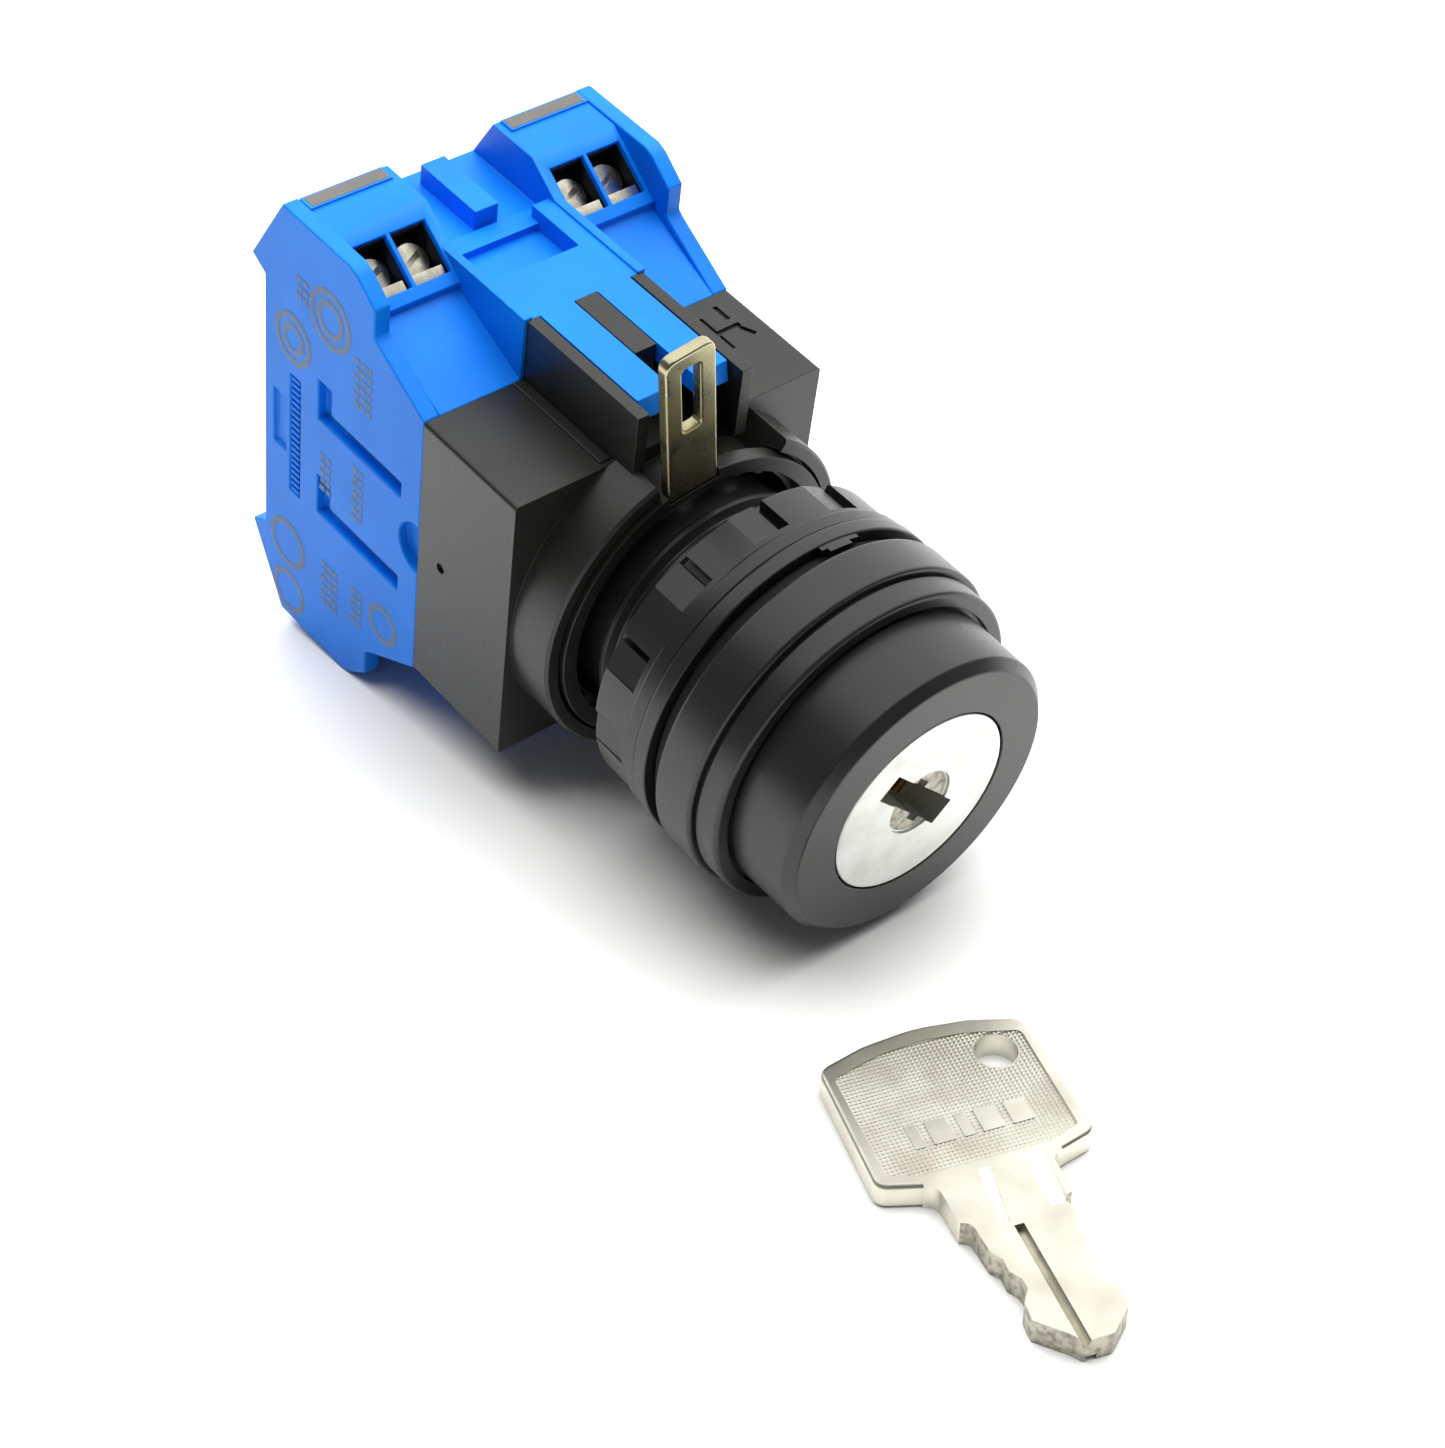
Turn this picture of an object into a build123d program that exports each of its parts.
"""Selector key switch for a 22 mm panel hole, modelled as it is assembled.

Every piece is drawn in the switch's own upright frame: the switch axis is Y, the front is -Y, +Z is the
side of the locking lever, and the origin is on the axis in the panel's plane, the rear face of the gasket.
The finished pieces are then laid down together, nose first, so that the switch rests on its bezel and on
the foot edge of the contact block, with the loose key flat beside it. Sizes are in millimetres.
"""

import os
from math import atan, cos, degrees, radians, sin, tan

from build123d import *

os.makedirs("parts", exist_ok=True)

# ---- driving dimensions: operator head ----
FACE_Y = -14.3
SHROUD_REAR = -7.8
SHROUD_R = 12.85
SHROUD_CHAMFER = 0.8
FACE_HOLE_R = 8.3
BEZEL_STEP_Y = -5.3
BEZEL_SMALL_R = 14.4
BEZEL_R = 14.9
GASKET_T = 1.2
GASKET_R = 14.35
WASHER_T = 1.5
WASHER_R = 14.8

# ---- operator sleeve and locking nut ----
SLEEVE_R = 10.9
SLEEVE_BORE_R = 9.6
SLEEVE_REAR = 17.6
THREAD_START = 0.6
THREAD_PITCH = 1.5
THREAD_TURNS = 7
THREAD_DEPTH = 0.55
NUT_R = 14.3
NUT_BORE_R = 11.05
NUT_LENGTH = 5.3
NUT_POCKETS = 12
NUT_POCKET_ANGLE = 13
NUT_POCKET_DEPTH = 0.8
NUT_POCKET_LENGTH = 3.4
NUT_FIRST_POCKET = -6

# ---- lock cylinder ----
DISC_R = 8.15
DISC_T = 1.3
BARREL_R = 6.2
BARREL_REAR = 4.0
LOCK_BODY_R = 9.5
LOCK_BORE_R = 6.28
KEYWAY_LENGTH = 9.2
KEYWAY_WIDTH = 2.3
KEYWAY_DEPTH = 15.6
KEYWAY_SHIFT = 0.7
WARD_GROOVE = (1.0, 1.3)
WARD_PLACE = 1.1
SLOT_TURN = 45
SPOT_FACE_R = 2.95
SPOT_FACE_DEPTH = 0.35
PLUG_TAIL = 3.2
CLIP_T = 0.8
CLIP_R = 5.6
DRIVE_SLOT_WIDTH = 2.0
DRIVE_SLOT_DEPTH = 1.5
PLUG_TAIL_R = 4.6
PLUG_GROOVE_R = 4.0
WAFER_COUNT = 4
WAFER_FIRST_Y = -10.4
WAFER_PITCH = 2.6
WAFER_T = 1.0
WAFER_LENGTH = 11.6
WAFER_WIDTH = 5.0
WAFER_SLOT_GAP = 0.1
WAFER_WINDOW = 8.6
WAFER_SET = 0.4

# ---- adaptor ----
BOX_FRONT = 16.8
BOX_REAR = 28.3
BOX_WIDTH = 30.0
BOX_HALF_HEIGHT = 13.2
BOX_WALL = 1.4
COLLAR_FRONT = 12.3
COLLAR_R = 14.6
COLLAR_BORE_R = 13.45
ADAPTOR_BORE_R = 11.3
RING_SEAT_Y = 13.6
WINDOW_LEFT = -20.5
WINDOW_RIGHT = 32.5
CHANNEL_WALL_OUT = 5.6
CHANNEL_WALL_IN = 4.5
CHANNEL_TOP = 18.9
CHANNEL_FRONT = 14.8
MIDDLE_STRIP_HALF = 1.05
MIDDLE_STRIP_FRONT = 20.9

# ---- locking lever ----
LEVER_TURN = -8.0
LEVER_WIDTH = 4.7
LEVER_TOP = 26.6
LEVER_T = 1.1
LEVER_FRONT = 11.95
LEVER_RING_T = 1.4
LEVER_RING_R = 13.15
LEVER_RING_BORE_R = 11.85

# ---- contact block ----
BLOCK_REAR = 49.6
BLOCK_HALF_HEIGHT = 21.5
FOOT_Y = 38.2
SLOPE_FOOT = (34.4, 16.5)
LIP_FRONT = 34.9
TOP_REAR = 47.2
REAR_TIP = (51.4, 14.2)
BODY_HALF_WIDTH = 13.5
COVER_T = 1.5
INNER_WALL = 5.1
BLOCK_WALL = 1.3
TERMINAL_XS = (7.75, 11.45)
TERMINAL_CENTRE = (39.05, 19.25)
TERMINAL_SLOPE = 34.5
CHAMBER_STEP_Y = 39.0
CHAMBER_HALF_HEIGHT = 14.2
CHAMBER_FRONT_HALF_HEIGHT = 12.0
PLUNGER_WINDOW = (5.0, 5.6)
REAR_OPENING = (2.9, 3.4)
REAR_OPENING_DEPTH = 1.6
POCKET_SIZE = (3.3, 4.5)
POCKET_DEPTH = 6.6
STRIP_Y = (45.6, 47.0)
STRIP_X = 9.6
STRIP_WIDTH = 7.3
TONGUE_FRONT = 16.0
TONGUE_T = 1.7
TONGUE_WIDTH = 3.2
CHANNEL_REAR = 39.6
CHANNEL_FLOOR = 12.8
GAP_FLOOR = 17.3
GAP_TOP = 23.0
TAB_Y = (40.9, 48.2)
TAB_TOP = 19.2
TAB_HALF_WIDTH = 1.15
SQUARE_POCKET = (6.8, 4.8)
SQUARE_POCKET_Y = 36.0
SQUARE_POCKET_DEPTH = 1.7
TOWER_WALL = 0.8
SLOPE_LOW_Y = 36.3

# ---- side covers ----
L_SLOT_LEVELS = (3.6, -6.4)
L_SLOT_Y = (30.9, 42.1)
L_SLOT_WIDTH = 1.5
L_SLOT_FOOT = (1.8, 4.0)
L_SLOT_DEPTH = 0.9
COVER_NOTCH_R = 2.4
RIB_FIELD_Y = 45.3
RIB_FIELD = (1.4, 12.4)
FRAME_FIELD_Y = 47.4
FRAME_FIELD = (1.8, 5.6)
FIELD_DEPTH = 0.35

# ---- terminals ----
SCREW_HEAD_R = 1.45
SCREW_HEAD_T = 1.0
SCREW_SHANK_R = 0.95
SCREW_SHANK_LENGTH = 2.05
SCREW_HEAD_DEPTH = 1.9
SCREW_SLOT = (2.2, 0.5)
SADDLE_SIZE = (3.1, 4.2)
SADDLE_T = 0.8
SADDLE_DEPTH = 3.75
TAB_DEPTH = 5.0

# ---- rotor cam, plungers and contacts ----
CAM_CENTRE_Y = 22.6
CAM_R = 11.0
CAM_FRONT = 19.0
PLUNGER_X = 9.0
PLUNGER_TRAVEL = 3.0
CAM_GAP = 0.25
BRIDGE_Y = 38.6
BRIDGE_T = 0.8
BRIDGE_SIZE = (2.9, 14.6)
FIXED_CONTACT_T = 0.8
CONTACT_WIDTH = 3.0
CONTACT_FOOT_Z = 4.4
CONTACT_TAB_T = 0.9
RIVET_R = 1.1
RIVET_Z = 6.0
PLUNGER_NOSE = (1.6, 1.2)
PLUNGER_STEM = (4.2, 4.6)
CARRIER_X = 9.6
CARRIER_SIZE = (6.8, 4.6)
CARRIER_REACH = 1.9
SPRING_PIN = (1.2, 1.5)
CONTACT_GAP = 0.06
SPRING_R = 1.7
SPRING_WIRE_R = 0.25
SPRING_TURNS = 6

# ---- key ----
KEY_YAW = -20.0
KEY_TIP = -55.8
KEY_TIP_WIDTH = 2.8
KEY_HEAD_TOP = -24.7
KEY_HEAD_CORNER = -26.3
KEY_HEAD_FOOT = -38.4
KEY_HEAD_WIDTH = 17.0
KEY_CORNER_R = 1.4
KEY_SHOULDER = -39.7
KEY_SHOULDER_R = 1.2
KEY_NECK_FOOT = -43.4
KEY_NECK_WIDTH = 8.8
KEY_BLADE_WIDTH = 7.2
KEY_BITTING = ((3.9, 0.8), (6.4, 1.4))
KEY_BIT_FLAT = 0.5
KEY_T = 2.2
KEY_GROOVE_WIDTH = 0.8
KEY_GROOVE_DEPTH = 0.55
KEY_RING_HOLE = (4.85, -28.9)
KEY_RING_HOLE_R = 1.65

# ---- worked out from the driving dimensions ----
TILT = degrees(atan((BLOCK_HALF_HEIGHT - BEZEL_R) / (FOOT_Y - BEZEL_STEP_Y)))
CAM_SLOPE = degrees(atan(PLUNGER_TRAVEL / 2 / sin(radians(SLOT_TURN)) / PLUNGER_X))

pieces = {}


def station(y):
    """Plane across the switch axis at y, with local x = X and local y = Z."""
    return Plane.XZ.offset(-y)


def side(x):
    """Plane along the switch at x, with local x = Y and local y = Z."""
    return Plane.YZ.offset(x)


def polygon(*points):
    """Filled outline through points, inside the current sketch."""
    Polygon(*points, align=None)


def half_outline(*points):
    """Sketch of a turned piece, from (y, radius) points, beside the switch axis."""
    with BuildSketch(Plane.YZ) as outline:
        polygon(*points)
    return outline.sketch


def sector(radius, start, end, steps=8):
    """Points of a pie slice in a station plane, with angles from +Z towards +X."""
    angles = [radians(start + (end - start) * i / steps) for i in range(steps + 1)]
    return [(0, 0)] + [(radius * sin(a), radius * cos(a)) for a in angles]


# ======== operator head ========
with BuildPart() as front_shroud:
    revolve(half_outline(
        (FACE_Y, FACE_HOLE_R), (FACE_Y, SHROUD_R - SHROUD_CHAMFER), (FACE_Y + SHROUD_CHAMFER, SHROUD_R - 0.1),
        (SHROUD_REAR, SHROUD_R), (SHROUD_REAR, SLEEVE_BORE_R), (FACE_Y + DISC_T + 0.05, SLEEVE_BORE_R),
        (FACE_Y + DISC_T + 0.05, FACE_HOLE_R),
    ), axis=Axis.Y)
pieces["front_shroud"] = front_shroud

with BuildPart() as bezel_ring:
    revolve(half_outline(
        (SHROUD_REAR, SLEEVE_R + 0.05), (SHROUD_REAR, BEZEL_SMALL_R - 0.2), (SHROUD_REAR + 0.25, BEZEL_SMALL_R),
        (BEZEL_STEP_Y, BEZEL_SMALL_R), (BEZEL_STEP_Y, BEZEL_R - 0.2), (BEZEL_STEP_Y + 0.2, BEZEL_R),
        (-GASKET_T - 0.3, BEZEL_R - 0.05), (-GASKET_T, BEZEL_R - 0.35), (-GASKET_T, SLEEVE_R + 0.05),
    ), axis=Axis.Y)
pieces["bezel_ring"] = bezel_ring

with BuildPart() as gasket:
    revolve(half_outline((-GASKET_T, SLEEVE_R + 0.1), (-GASKET_T, GASKET_R), (0, GASKET_R), (0, SLEEVE_R + 0.1)), axis=Axis.Y)
pieces["gasket"] = gasket

thread = []
for turn in range(THREAD_TURNS):
    crest = THREAD_START + turn * THREAD_PITCH
    thread += [
        (crest, SLEEVE_R - THREAD_DEPTH), (crest + 0.45, SLEEVE_R),
        (crest + 0.85, SLEEVE_R), (crest + 1.3, SLEEVE_R - THREAD_DEPTH),
    ]
with BuildPart() as operator_sleeve:
    revolve(half_outline(
        (SHROUD_REAR, SLEEVE_BORE_R), (SHROUD_REAR, SLEEVE_R), (THREAD_START - 0.4, SLEEVE_R), *thread,
        (SLEEVE_REAR, SLEEVE_R - THREAD_DEPTH), (SLEEVE_REAR, SLEEVE_BORE_R),
    ), axis=Axis.Y)
    with BuildSketch(station(SLEEVE_REAR)):
        Rectangle(2.4, 2 * SLEEVE_R + 2)
    extrude(amount=2.2, mode=Mode.SUBTRACT)
pieces["operator_sleeve"] = operator_sleeve

# ======== panel clamping ========
with BuildPart() as clamp_washer:
    revolve(half_outline((0.05, NUT_BORE_R), (0.05, WASHER_R), (WASHER_T, WASHER_R), (WASHER_T, NUT_BORE_R)), axis=Axis.Y)
    with BuildSketch(station(0)):
        polygon(*sector(WASHER_R + 1, 2, 15))
        Circle(WASHER_R - 1.2, mode=Mode.SUBTRACT)
    extrude(amount=-0.55, mode=Mode.SUBTRACT)
pieces["clamp_washer"] = clamp_washer

nut_front = WASHER_T + 0.05
nut_rear = nut_front + NUT_LENGTH
with BuildPart() as locking_nut:
    revolve(half_outline(
        (nut_front, NUT_BORE_R), (nut_front, NUT_R + 0.2), (nut_front + 0.35, NUT_R + 0.35),
        (nut_front + 1.2, NUT_R + 0.3), (nut_front + 1.5, NUT_R), (nut_rear - 0.3, NUT_R - 0.05),
        (nut_rear, NUT_R - 0.35), (nut_rear, NUT_BORE_R),
    ), axis=Axis.Y)
    with BuildSketch(station(nut_rear)):
        for pocket in range(NUT_POCKETS):
            centre = NUT_FIRST_POCKET + pocket * 360 / NUT_POCKETS
            polygon(*sector(NUT_R + 1, centre - NUT_POCKET_ANGLE / 2, centre + NUT_POCKET_ANGLE / 2, 4))
        Circle(NUT_R - NUT_POCKET_DEPTH, mode=Mode.SUBTRACT)
    extrude(amount=NUT_POCKET_LENGTH, mode=Mode.SUBTRACT)
    with BuildSketch(station(nut_rear)):
        for pocket in range(NUT_POCKETS):
            edge = NUT_FIRST_POCKET + pocket * 360 / NUT_POCKETS + NUT_POCKET_ANGLE / 2
            polygon(*sector(NUT_R + 1, edge - 2.5, edge, 1))
        Circle(NUT_R - 2 * NUT_POCKET_DEPTH, mode=Mode.SUBTRACT)
    extrude(amount=NUT_POCKET_LENGTH, mode=Mode.SUBTRACT)
pieces["locking_nut"] = locking_nut

# ======== lock cylinder ========
clip_y = BARREL_REAR + 0.8
lock_front = FACE_Y + DISC_T + 0.1
wafer_ys = [WAFER_FIRST_Y + WAFER_PITCH * i for i in range(WAFER_COUNT)]
relief_front = wafer_ys[0] - 0.8
relief_rear = wafer_ys[-1] + WAFER_T + 0.8
seal_front = 0.6
seal_wire_r = 0.45
seal_centre_r = LOCK_BODY_R + 0.05 - seal_wire_r
with BuildPart() as lock_body:
    revolve(half_outline(
        (lock_front, LOCK_BORE_R), (lock_front, LOCK_BODY_R), (seal_front, LOCK_BODY_R),
        (seal_front, seal_centre_r - seal_wire_r - 0.05),
        (seal_front + 1.2, seal_centre_r - seal_wire_r - 0.05), (seal_front + 1.2, LOCK_BODY_R),
        (BARREL_REAR - 0.6, LOCK_BODY_R), (BARREL_REAR - 0.6, LOCK_BORE_R), (relief_rear, LOCK_BORE_R),
        (relief_rear, LOCK_BORE_R + 0.7), (relief_front, LOCK_BORE_R + 0.7), (relief_front, LOCK_BORE_R),
    ), axis=Axis.Y)
pieces["lock_body"] = lock_body

with BuildPart() as seal_ring:
    with BuildSketch(Plane.YZ):
        with Locations((seal_front + 0.6, seal_centre_r)):
            Circle(seal_wire_r)
    revolve(axis=Axis.Y)
pieces["seal_ring"] = seal_ring

keyway_turn = Location((0, 0, 0), (0, 0, SLOT_TURN))
with BuildPart() as lock_plug:
    revolve(half_outline(
        (FACE_Y, 0), (FACE_Y, DISC_R - 0.15), (FACE_Y + 0.15, DISC_R), (FACE_Y + DISC_T, DISC_R),
        (FACE_Y + DISC_T, BARREL_R), (BARREL_REAR, BARREL_R), (BARREL_REAR, PLUG_TAIL_R),
        (clip_y, PLUG_TAIL_R), (clip_y, PLUG_GROOVE_R), (clip_y + CLIP_T + 0.1, PLUG_GROOVE_R),
        (clip_y + CLIP_T + 0.1, PLUG_TAIL_R), (BARREL_REAR + PLUG_TAIL, PLUG_TAIL_R),
        (BARREL_REAR + PLUG_TAIL, 0),
    ), axis=Axis.Y)
    with BuildSketch(station(FACE_Y)):
        Circle(SPOT_FACE_R)
    extrude(amount=-SPOT_FACE_DEPTH, mode=Mode.SUBTRACT)
    with BuildSketch(station(FACE_Y)):
        with Locations(keyway_turn):
            with Locations((0, KEYWAY_SHIFT)):
                Rectangle(KEYWAY_WIDTH, KEYWAY_LENGTH)
            with Locations((KEYWAY_WIDTH / 2, WARD_PLACE), (-KEYWAY_WIDTH / 2, -WARD_PLACE)):
                Rectangle(*WARD_GROOVE)
    extrude(amount=-KEYWAY_DEPTH, mode=Mode.SUBTRACT)
    for y in wafer_ys:
        with BuildSketch(station(y - WAFER_SLOT_GAP)):
            Rectangle(WAFER_WIDTH + 2 * WAFER_SLOT_GAP, 2 * BARREL_R + 1, rotation=SLOT_TURN)
        extrude(amount=-WAFER_T - 2 * WAFER_SLOT_GAP, mode=Mode.SUBTRACT)
    with BuildSketch(station(BARREL_REAR + PLUG_TAIL)):
        Rectangle(DRIVE_SLOT_WIDTH, 12)
    extrude(amount=DRIVE_SLOT_DEPTH, mode=Mode.SUBTRACT)
pieces["lock_plug"] = lock_plug

for number, y in enumerate(wafer_ys, start=1):
    with BuildPart() as wafer:
        with BuildSketch(station(y)):
            with Locations(keyway_turn):
                Rectangle(WAFER_WIDTH, WAFER_LENGTH)
                with Locations((0, KEYWAY_SHIFT + (WAFER_SET if number % 2 else -WAFER_SET))):
                    Rectangle(KEYWAY_WIDTH + 0.3, WAFER_WINDOW, mode=Mode.SUBTRACT)
        extrude(amount=-WAFER_T)
        chamfer(wafer.edges().filter_by(Axis.Y).group_by(SortBy.DISTANCE)[-1], length=0.3)
    pieces[f"wafer_{number}"] = wafer

with BuildPart() as plug_clip:
    with BuildSketch(station(clip_y + 0.05)):
        Circle(CLIP_R)
        Circle(PLUG_GROOVE_R + 0.02, mode=Mode.SUBTRACT)
        with Locations((0, -PLUG_GROOVE_R)):
            Rectangle(5.0, 5.0, mode=Mode.SUBTRACT)
    extrude(amount=-CLIP_T)
pieces["plug_clip"] = plug_clip

# ======== rotor drive: shaft and slanted cam ========
shaft_front = BARREL_REAR + 3.3
cam_plane = Plane(
    origin=(0, CAM_CENTRE_Y, 0),
    z_dir=(sin(radians(SLOT_TURN)) * sin(radians(CAM_SLOPE)), cos(radians(CAM_SLOPE)),
           -cos(radians(SLOT_TURN)) * sin(radians(CAM_SLOPE))),
)
with BuildPart() as cam_shaft:
    with BuildSketch(station(shaft_front)):
        Circle(5.4)
    extrude(amount=shaft_front - CAM_FRONT)
    with BuildSketch(station(shaft_front)):
        Rectangle(1.8, 10.4)
    extrude(amount=1.3)
    with BuildSketch(station(CAM_FRONT)):
        Circle(CAM_R)
    extrude(amount=-8)
    split(bisect_by=cam_plane, keep=Keep.BOTTOM)
    with BuildSketch(station(CAM_FRONT)):
        Circle(CAM_R + 1)
        Circle(SLEEVE_BORE_R - 0.4, mode=Mode.SUBTRACT)
    extrude(amount=-0.6, mode=Mode.SUBTRACT)
pieces["cam_shaft"] = cam_shaft

# ======== adaptor housing ========
box_height = 2 * BOX_HALF_HEIGHT
with BuildPart() as adaptor_housing:
    with BuildSketch(station(BOX_FRONT)):
        Rectangle(BOX_WIDTH, box_height)
    extrude(amount=BOX_FRONT - BOX_REAR)
    fillet(adaptor_housing.edges().filter_by(Axis.Y), radius=0.4)
    with BuildSketch(station(BOX_REAR)):
        Rectangle(BOX_WIDTH - 2 * BOX_WALL, box_height - 2 * BOX_WALL)
    extrude(amount=BOX_REAR - BOX_FRONT - BOX_WALL, mode=Mode.SUBTRACT)
    with BuildSketch(station(COLLAR_FRONT)):
        Circle(COLLAR_R)
    extrude(amount=COLLAR_FRONT - BOX_FRONT)
    chamfer(adaptor_housing.faces().sort_by(Axis.Y)[0].outer_wire().edges(), length=0.25)
    with BuildSketch(station(COLLAR_FRONT)):
        Circle(ADAPTOR_BORE_R)
    extrude(amount=COLLAR_FRONT - BOX_FRONT - 2 * BOX_WALL, mode=Mode.SUBTRACT)
    with BuildSketch(station(COLLAR_FRONT)):
        Circle(COLLAR_BORE_R)
    extrude(amount=COLLAR_FRONT - RING_SEAT_Y, mode=Mode.SUBTRACT)
    with BuildSketch(station(COLLAR_FRONT)):
        polygon(*sector(COLLAR_R + 3, WINDOW_LEFT, WINDOW_RIGHT))
        Circle(ADAPTOR_BORE_R + 0.6, mode=Mode.SUBTRACT)
    extrude(amount=COLLAR_FRONT - BOX_FRONT, mode=Mode.SUBTRACT)
    with BuildSketch(station(CHANNEL_FRONT)):
        for hand in (-1, 1):
            with Locations((hand * (CHANNEL_WALL_OUT + CHANNEL_WALL_IN) / 2, (CHANNEL_TOP + 12.4) / 2)):
                Rectangle(CHANNEL_WALL_OUT - CHANNEL_WALL_IN, CHANNEL_TOP - 12.4)
    extrude(amount=CHANNEL_FRONT - BOX_REAR)
    with BuildSketch(station(MIDDLE_STRIP_FRONT)):
        with Locations((0, (CHANNEL_TOP + BOX_HALF_HEIGHT - 0.4) / 2)):
            Rectangle(2 * MIDDLE_STRIP_HALF, CHANNEL_TOP - BOX_HALF_HEIGHT + 0.4)
    extrude(amount=MIDDLE_STRIP_FRONT - BOX_REAR)
    with BuildSketch(Plane.YZ.offset(-BOX_WIDTH / 2)):
        with Locations((BOX_FRONT + 8.6, 0.3)):
            Circle(0.45)
    extrude(amount=0.3, mode=Mode.SUBTRACT)
    # turning mark of the lever: a bar, a short bar and a plain arrow
    with BuildSketch(Plane.XY.offset(BOX_HALF_HEIGHT)):
        with Locations((10.6, BOX_FRONT + 7.6)):
            Rectangle(0.45, 4.2)
        with Locations((12.6, BOX_FRONT + 9.4)):
            Rectangle(0.4, 1.8)
        with Locations((11.9, BOX_FRONT + 7.6)):
            Rectangle(2.2, 0.4)
        with Locations(Location((12.9, BOX_FRONT + 6.9, 0), (0, 0, 25))):
            Rectangle(0.4, 2.0)
    extrude(amount=-0.25, mode=Mode.SUBTRACT)
pieces["adaptor_housing"] = adaptor_housing

# ======== locking lever ========
with BuildPart() as lever_ring:
    with BuildSketch(station(LEVER_FRONT)):
        Circle(LEVER_RING_R)
        Circle(LEVER_RING_BORE_R, mode=Mode.SUBTRACT)
        with Locations(Location((0, 0, 0), (0, 0, -LEVER_TURN))):
            with Locations((0, LEVER_RING_R)):
                Rectangle(LEVER_WIDTH + 0.1, 2.0, mode=Mode.SUBTRACT)
    extrude(amount=-LEVER_RING_T)
    with BuildSketch(station(LEVER_FRONT + 0.3)):
        for angle in (-12, 2, 14, 26, 120, 240):
            polygon(*[
                (r * sin(radians(a)), r * cos(radians(a)))
                for r, a in (
                    (LEVER_RING_BORE_R + 0.2, angle - 2.5), (LEVER_RING_BORE_R + 0.2, angle + 2.5),
                    (LEVER_RING_BORE_R - 0.4, angle + 2.5), (LEVER_RING_BORE_R - 0.4, angle - 2.5),
                )
            ])
    extrude(amount=-0.8)
pieces["lever_ring"] = lever_ring

lever_foot = LEVER_RING_R - 0.9
with BuildPart() as locking_lever:
    with BuildSketch(station(LEVER_FRONT + 0.1)):
        with Locations(Location((0, 0, 0), (0, 0, -LEVER_TURN))):
            with Locations((0, (LEVER_TOP + lever_foot) / 2)):
                Rectangle(LEVER_WIDTH, LEVER_TOP - lever_foot)
            with Locations((0, 22.0)):
                SlotCenterToCenter(4.6, 1.7, rotation=90, mode=Mode.SUBTRACT)
    extrude(amount=-LEVER_T)
    top_corners = locking_lever.edges().filter_by(Axis.Y).sort_by(Axis.Z)[-2:]
    fillet(top_corners, radius=1.1)
pieces["locking_lever"] = locking_lever

# ======== contact block ========
lid_outline = [
    (BOX_REAR, BOX_HALF_HEIGHT), SLOPE_FOOT, (LIP_FRONT, SLOPE_FOOT[1] + 0.4), (LIP_FRONT, 19.4),
    (FOOT_Y - 1.0, BLOCK_HALF_HEIGHT - 0.4), (FOOT_Y, BLOCK_HALF_HEIGHT), (TOP_REAR, BLOCK_HALF_HEIGHT),
    REAR_TIP, (BLOCK_REAR, BOX_HALF_HEIGHT),
]
slope_rise = tan(radians(TERMINAL_SLOPE))
slope_top_y = TERMINAL_CENTRE[0] + (BLOCK_HALF_HEIGHT - 0.2 - TERMINAL_CENTRE[1]) / slope_rise
slope_low_z = TERMINAL_CENTRE[1] - (TERMINAL_CENTRE[0] - SLOPE_LOW_Y) * slope_rise
body_outline = [
    (BOX_REAR, BOX_HALF_HEIGHT), (SLOPE_LOW_Y + 0.3, slope_low_z - 0.7), (SLOPE_LOW_Y, slope_low_z),
    (slope_top_y, BLOCK_HALF_HEIGHT - 0.2), (TOP_REAR, BLOCK_HALF_HEIGHT - 0.2), REAR_TIP,
    (BLOCK_REAR, BOX_HALF_HEIGHT),
]
wall_outline = [
    (BOX_REAR, BOX_HALF_HEIGHT), (BOX_REAR, CHANNEL_TOP + 0.2), (SLOPE_LOW_Y + 3.2, CHANNEL_TOP + 0.2),
    (slope_top_y + 0.6, BLOCK_HALF_HEIGHT - 0.2), (TOP_REAR, BLOCK_HALF_HEIGHT - 0.2), REAR_TIP,
    (BLOCK_REAR, BOX_HALF_HEIGHT),
]


def both_halves(outline):
    """Outline closed by its own mirror image below the axis."""
    return [*outline, *[(y, -z) for y, z in reversed(outline)]]


def terminal_plane(x, level):
    """Plane of one terminal opening, facing up and forwards on the upper side, level = 1, or mirrored."""
    slope = radians(TERMINAL_SLOPE)
    return Plane(
        origin=(x, TERMINAL_CENTRE[0], level * TERMINAL_CENTRE[1]),
        x_dir=(1, 0, 0),
        z_dir=(0, -sin(slope), level * cos(slope)),
    )


terminal_places = [(hand * x, level) for level in (1, -1) for hand in (-1, 1) for x in TERMINAL_XS]
chamber_front = BOX_REAR + BLOCK_WALL
chamber_rear = BLOCK_REAR - BLOCK_WALL

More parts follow.
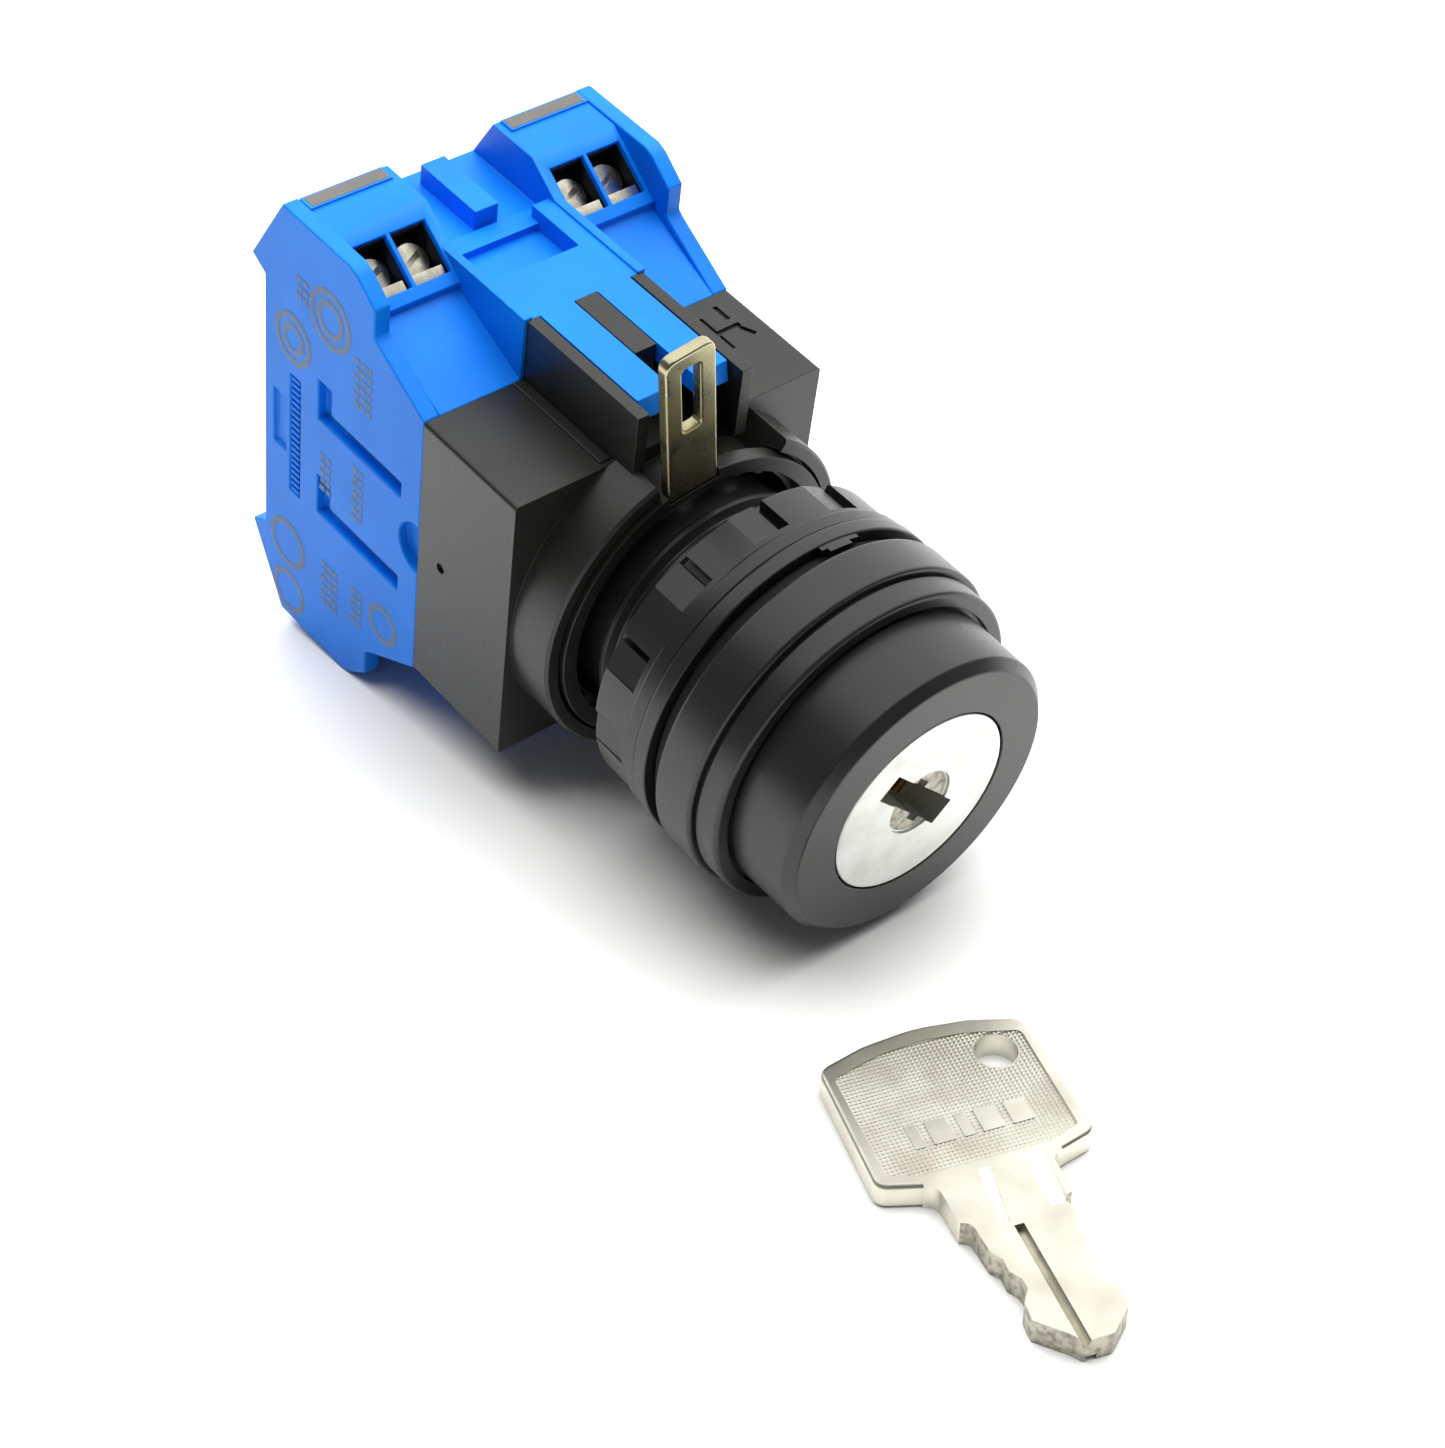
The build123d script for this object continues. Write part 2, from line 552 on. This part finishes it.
with BuildPart() as contact_block:
    with BuildSketch(side(-BODY_HALF_WIDTH)):
        polygon(*both_halves(body_outline))
    extrude(amount=2 * BODY_HALF_WIDTH)
    for hand in (-1, 1):
        with BuildSketch(side(hand * INNER_WALL)):
            polygon(*both_halves(wall_outline))
        extrude(amount=hand * TOWER_WALL)
    # gap between the towers, down to its floor
    with BuildSketch(side(-INNER_WALL)):
        for level in (1, -1):
            polygon(
                (BOX_REAR - 1, level * CHANNEL_TOP), (CHANNEL_REAR, level * CHANNEL_TOP),
                (CHANNEL_REAR, level * GAP_FLOOR), (BLOCK_REAR + 4, level * GAP_FLOOR),
                (BLOCK_REAR + 4, level * GAP_TOP), (BOX_REAR - 1, level * GAP_TOP),
            )
    extrude(amount=2 * INNER_WALL, mode=Mode.SUBTRACT)
    # raised channel between the towers, tab behind it and tongues in front
    with BuildSketch(side(-INNER_WALL)):
        for level in (1, -1):
            polygon(
                (BOX_REAR, level * CHANNEL_FLOOR), (BOX_REAR, level * CHANNEL_TOP),
                (CHANNEL_REAR, level * CHANNEL_TOP), (CHANNEL_REAR, level * CHANNEL_FLOOR),
            )
    extrude(amount=2 * INNER_WALL)
    with BuildSketch(side(-TAB_HALF_WIDTH)):
        for level in (1, -1):
            polygon(
                (TAB_Y[0], level * (GAP_FLOOR - 0.3)), (TAB_Y[0], level * TAB_TOP),
                (TAB_Y[1], level * TAB_TOP), (TAB_Y[1], level * (GAP_FLOOR - 0.3)),
            )
    extrude(amount=2 * TAB_HALF_WIDTH)
    with BuildSketch(Plane.XY.offset(CHANNEL_TOP)):
        with Locations((0, SQUARE_POCKET_Y)):
            Rectangle(*SQUARE_POCKET)
    extrude(amount=-SQUARE_POCKET_DEPTH, mode=Mode.SUBTRACT)
    for hand in (-1, 1):
        with BuildSketch(side(hand * (MIDDLE_STRIP_HALF + 0.1))):
            polygon(
                (TONGUE_FRONT, CHANNEL_TOP - TONGUE_T), (TONGUE_FRONT + 0.5, CHANNEL_TOP),
                (BOX_REAR + 0.5, CHANNEL_TOP), (BOX_REAR + 0.5, CHANNEL_TOP - TONGUE_T),
            )
        extrude(amount=hand * TONGUE_WIDTH)
    # contact chambers, one on each side, open towards the side covers
    for hand in (-1, 1):
        with BuildSketch(side(hand * (INNER_WALL + TOWER_WALL))):
            with Locations(((chamber_front + chamber_rear) / 2, 0)):
                Rectangle(chamber_rear - chamber_front, 2 * CHAMBER_FRONT_HALF_HEIGHT)
            with Locations(((CHAMBER_STEP_Y + chamber_rear) / 2, 0)):
                Rectangle(chamber_rear - CHAMBER_STEP_Y, 2 * CHAMBER_HALF_HEIGHT)
        extrude(amount=hand * (BODY_HALF_WIDTH - INNER_WALL), mode=Mode.SUBTRACT)
        with BuildSketch(station(BOX_REAR)):
            with Locations((hand * PLUNGER_X, 0)):
                Rectangle(*PLUNGER_WINDOW)
        extrude(amount=-BLOCK_WALL - 0.1, mode=Mode.SUBTRACT)
    for x, level in terminal_places:
        with BuildSketch(terminal_plane(x, level)):
            Rectangle(*POCKET_SIZE)
        extrude(amount=-POCKET_DEPTH, mode=Mode.SUBTRACT)
        with BuildSketch(Plane(
            origin=(x, (TOP_REAR + REAR_TIP[0]) / 2, level * (BLOCK_HALF_HEIGHT + REAR_TIP[1]) / 2),
            x_dir=(1, 0, 0),
            z_dir=(0, BLOCK_HALF_HEIGHT - REAR_TIP[1], level * (REAR_TIP[0] - TOP_REAR)),
        )):
            Rectangle(*REAR_OPENING)
        extrude(amount=-REAR_OPENING_DEPTH, mode=Mode.SUBTRACT)
    for hand in (-1, 1):
        for level in (1, -1):
            with BuildSketch(Plane.XY.offset(level * (BLOCK_HALF_HEIGHT - 0.2))):
                with Locations((hand * STRIP_X, (STRIP_Y[0] + STRIP_Y[1]) / 2)):
                    Rectangle(STRIP_WIDTH + 0.1, STRIP_Y[1] - STRIP_Y[0])
            extrude(amount=-level * 0.6, mode=Mode.SUBTRACT)
pieces["contact_block"] = contact_block

for hand, name in ((-1, "side_cover_left"), (1, "side_cover_right")):
    with BuildPart() as cover:
        with BuildSketch(side(hand * BODY_HALF_WIDTH)):
            polygon(*both_halves(lid_outline))
        extrude(amount=hand * COVER_T)
        outer = side(hand * (BODY_HALF_WIDTH + COVER_T))
        with BuildSketch(outer):
            for low in L_SLOT_LEVELS:
                with Locations(((L_SLOT_Y[0] + L_SLOT_Y[1]) / 2, low + L_SLOT_WIDTH / 2)):
                    Rectangle(L_SLOT_Y[1] - L_SLOT_Y[0], L_SLOT_WIDTH)
                with Locations((L_SLOT_Y[1] - L_SLOT_FOOT[0] / 2, low + L_SLOT_FOOT[1] / 2)):
                    Rectangle(*L_SLOT_FOOT)
            with Locations((BOX_REAR + 0.2, -0.2)):
                Circle(COVER_NOTCH_R)
        extrude(amount=-hand * L_SLOT_DEPTH, mode=Mode.SUBTRACT)
        with BuildSketch(outer):
            with Locations((RIB_FIELD_Y, -0.7)):
                Rectangle(*RIB_FIELD)
            with Locations((FRAME_FIELD_Y, -0.3)):
                Rectangle(*FRAME_FIELD)
        extrude(amount=-hand * FIELD_DEPTH, mode=Mode.SUBTRACT)
    pieces[name] = cover

for hand, side_name in ((-1, "left"), (1, "right")):
    for level, level_name in ((1, "upper"), (-1, "lower")):
        with BuildPart() as strip:
            with BuildSketch(Plane.XY.offset(level * (BLOCK_HALF_HEIGHT - 0.75))):
                with Locations((hand * STRIP_X, (STRIP_Y[0] + STRIP_Y[1]) / 2)):
                    Rectangle(STRIP_WIDTH, STRIP_Y[1] - STRIP_Y[0] - 0.1)
            extrude(amount=level * 0.65)
        pieces[f"label_strip_{level_name}_{side_name}"] = strip

# ======== terminals ========
for level, level_name in ((1, "upper"), (-1, "lower")):
    places = [(x, lv) for x, lv in terminal_places if lv == level]
    with BuildPart() as screws:
        for x, lv in places:
            face = terminal_plane(x, lv)
            with BuildSketch(face.offset(-SCREW_HEAD_DEPTH - SCREW_HEAD_T)):
                Circle(SCREW_HEAD_R)
            extrude(amount=SCREW_HEAD_T)
            with BuildSketch(face.offset(-SCREW_HEAD_DEPTH - SCREW_HEAD_T)):
                Circle(SCREW_SHANK_R)
            extrude(amount=-SCREW_SHANK_LENGTH)
            with BuildSketch(face.offset(-SCREW_HEAD_DEPTH)):
                Rectangle(*SCREW_SLOT, rotation=25)
            extrude(amount=-SCREW_SLOT[1], mode=Mode.SUBTRACT)
    pieces[f"terminal_screws_{level_name}"] = screws
    with BuildPart() as saddles:
        for x, lv in places:
            with BuildSketch(terminal_plane(x, lv).offset(-SADDLE_DEPTH)):
                Rectangle(*SADDLE_SIZE)
                Circle(SCREW_SHANK_R + 0.1, mode=Mode.SUBTRACT)
            extrude(amount=SADDLE_T)
    pieces[f"terminal_saddles_{level_name}"] = saddles

fixed_face_y = BRIDGE_Y + BRIDGE_T / 2 + PLUNGER_TRAVEL / 2 + CONTACT_GAP
rivet_t = 0.6
strip_front = fixed_face_y + rivet_t
strip_rear = strip_front + FIXED_CONTACT_T


def tab_underside(y):
    """Height of the underside of the upper terminal tabs at station y."""
    slope = radians(TERMINAL_SLOPE)
    centre_y = TERMINAL_CENTRE[0] + TAB_DEPTH * sin(slope)
    centre_z = TERMINAL_CENTRE[1] - TAB_DEPTH * cos(slope)
    return centre_z + (y - centre_y) * tan(slope)


for x, level in terminal_places:
    hand_name = "left" if x < 0 else "right"
    place_name = "inner" if abs(x) == TERMINAL_XS[0] else "outer"
    level_name = "upper" if level > 0 else "lower"
    with BuildPart() as fixed_contact:
        with BuildSketch(side(x - CONTACT_WIDTH / 2)):
            polygon(
                (strip_front, level * CONTACT_FOOT_Z), (strip_front, level * tab_underside(strip_front)),
                (strip_rear, level * tab_underside(strip_rear)), (strip_rear, level * CONTACT_FOOT_Z),
            )
        extrude(amount=CONTACT_WIDTH)
        with BuildSketch(terminal_plane(x, level).offset(-TAB_DEPTH)):
            Rectangle(CONTACT_WIDTH, SADDLE_SIZE[1] + 0.1)
            Circle(SCREW_SHANK_R + 0.15, mode=Mode.SUBTRACT)
        extrude(amount=CONTACT_TAB_T)
        with BuildSketch(station(fixed_face_y)):
            with Locations((x, level * RIVET_Z)):
                Circle(RIVET_R)
        extrude(amount=-rivet_t - 0.1)
    pieces[f"fixed_contact_{hand_name}_{place_name}_{level_name}"] = fixed_contact

# ======== plungers, contact bridges and springs ========
for hand, name in ((-1, "left"), (1, "right")):
    shift = -hand * PLUNGER_TRAVEL / 2
    tip = CAM_CENTRE_Y + shift + CAM_GAP
    shoulder = tip + PLUNGER_NOSE[1]
    bridge_y = BRIDGE_Y + shift
    carrier_front = bridge_y - CARRIER_REACH
    spring_seat = bridge_y + BRIDGE_T / 2 + 1.2
    with BuildPart() as plunger:
        with BuildSketch(station(shoulder)):
            with Locations((hand * PLUNGER_X, 0)):
                Rectangle(*PLUNGER_STEM)
        extrude(amount=shoulder - carrier_front)
        with BuildSketch(station(shoulder)):
            with Locations((hand * PLUNGER_X, 0)):
                Circle(PLUNGER_NOSE[0])
        extrude(amount=PLUNGER_NOSE[1], taper=35)
        with BuildSketch(station(carrier_front)):
            with Locations((hand * CARRIER_X, 0)):
                Rectangle(*CARRIER_SIZE)
        extrude(amount=carrier_front - spring_seat)
        with BuildSketch(station(bridge_y - BRIDGE_T / 2 - 0.02)):
            for x in TERMINAL_XS:
                with Locations((hand * x, 0)):
                    Rectangle(BRIDGE_SIZE[0] + 0.2, PLUNGER_STEM[1] + 1.4)
        extrude(amount=-BRIDGE_T - 0.04, mode=Mode.SUBTRACT)
        with BuildSketch(station(spring_seat)):
            with Locations((hand * PLUNGER_X, 0)):
                Circle(SPRING_PIN[0])
        extrude(amount=-SPRING_PIN[1])
    pieces[f"plunger_{name}"] = plunger
    for x, place_name in zip(TERMINAL_XS, ("inner", "outer")):
        with BuildPart() as bridge:
            with BuildSketch(station(bridge_y - BRIDGE_T / 2)):
                with Locations((hand * x, 0)):
                    Rectangle(*BRIDGE_SIZE)
            extrude(amount=-BRIDGE_T + 0.25)
            with BuildSketch(station(bridge_y + BRIDGE_T / 2)):
                with Locations((hand * x, RIVET_Z), (hand * x, -RIVET_Z)):
                    Circle(RIVET_R - 0.1)
            extrude(amount=0.3)
        pieces[f"contact_bridge_{name}_{place_name}"] = bridge
    spring_start = spring_seat + SPRING_WIRE_R + 0.05
    spring_end = chamber_rear - SPRING_WIRE_R - 0.05
    spring_length = spring_end - spring_start
    coil = Helix(pitch=spring_length / SPRING_TURNS, height=spring_length, radius=SPRING_R)
    with BuildPart() as spring:
        with BuildLine():
            add(coil)
        with BuildSketch(Plane(origin=coil @ 0, z_dir=coil % 0)):
            Circle(SPRING_WIRE_R)
        sweep(is_frenet=True)
    spring.part = spring.part.rotate(Axis.X, -90).moved(Location((hand * PLUNGER_X, spring_start, 0)))
    pieces[f"return_spring_{name}"] = spring

# ======== key ========
head_half = KEY_HEAD_WIDTH / 2
blade_half = KEY_BLADE_WIDTH / 2
neck_half = KEY_NECK_WIDTH / 2
tip_half = KEY_TIP_WIDTH / 2
with BuildPart() as key:
    with BuildSketch():
        with BuildLine():
            Polyline(
                (-head_half, KEY_HEAD_CORNER), (-head_half, KEY_HEAD_FOOT), (-neck_half, KEY_SHOULDER),
                (-neck_half, KEY_NECK_FOOT), (-blade_half, KEY_NECK_FOOT), (-blade_half, KEY_TIP + 3.2),
                (-tip_half, KEY_TIP), (tip_half, KEY_TIP), (blade_half, KEY_TIP + 3.2), (blade_half, KEY_NECK_FOOT),
                (neck_half, KEY_NECK_FOOT), (neck_half, KEY_SHOULDER), (head_half, KEY_HEAD_FOOT),
                (head_half, KEY_HEAD_CORNER),
            )
            ThreePointArc((head_half, KEY_HEAD_CORNER), (0, KEY_HEAD_TOP), (-head_half, KEY_HEAD_CORNER))
        head_face = make_face()
        corners = head_face.vertices()
        head_corners = corners.filter_by(lambda corner: abs(corner.X) > head_half - 0.1)
        shoulder_corners = corners.filter_by_position(Axis.Y, KEY_SHOULDER - 0.1, KEY_SHOULDER + 0.1)
        fillet(head_corners, radius=KEY_CORNER_R)
        fillet(shoulder_corners, radius=KEY_SHOULDER_R)
        # bitting on both edges of the blade: (place from the neck, depth of the cut)
        for place, depth in KEY_BITTING:
            cut_y = KEY_NECK_FOOT - place
            for hand in (-1, 1):
                Polygon(
                    (hand * (blade_half + 0.1), cut_y - KEY_BIT_FLAT - depth),
                    (hand * (blade_half - depth), cut_y - KEY_BIT_FLAT),
                    (hand * (blade_half - depth), cut_y + KEY_BIT_FLAT),
                    (hand * (blade_half + 0.1), cut_y + KEY_BIT_FLAT + depth),
                    align=None, mode=Mode.SUBTRACT,
                )
        with Locations(KEY_RING_HOLE):
            Circle(KEY_RING_HOLE_R, mode=Mode.SUBTRACT)
    extrude(amount=KEY_T)
    for level in (0, KEY_T):
        inward = 1 if level == 0 else -1
        with BuildSketch(Plane.XY.offset(level)):
            with Locations((0, (KEY_NECK_FOOT + KEY_TIP) / 2)):
                Rectangle(KEY_GROOVE_WIDTH, KEY_NECK_FOOT - KEY_TIP + 2.0)
        extrude(amount=inward * KEY_GROOVE_DEPTH, mode=Mode.SUBTRACT)
pieces["key"] = key

# ======== lay the pieces down and write them ========
bench = min(
    piece.part.rotate(Axis.X, TILT).bounding_box().min.Z for name, piece in pieces.items() if name != "key"
)
for name, piece in pieces.items():
    if name == "key":
        laid = piece.part.rotate(Axis.Z, KEY_YAW).moved(Location((0, 0, bench)))
    else:
        laid = piece.part.rotate(Axis.X, TILT)
    laid.label = name
    export_step(laid, f"parts/{name}.step")
print(f"tilt {TILT:.3f} degrees, bench at {bench:.3f} mm, {len(pieces)} pieces")
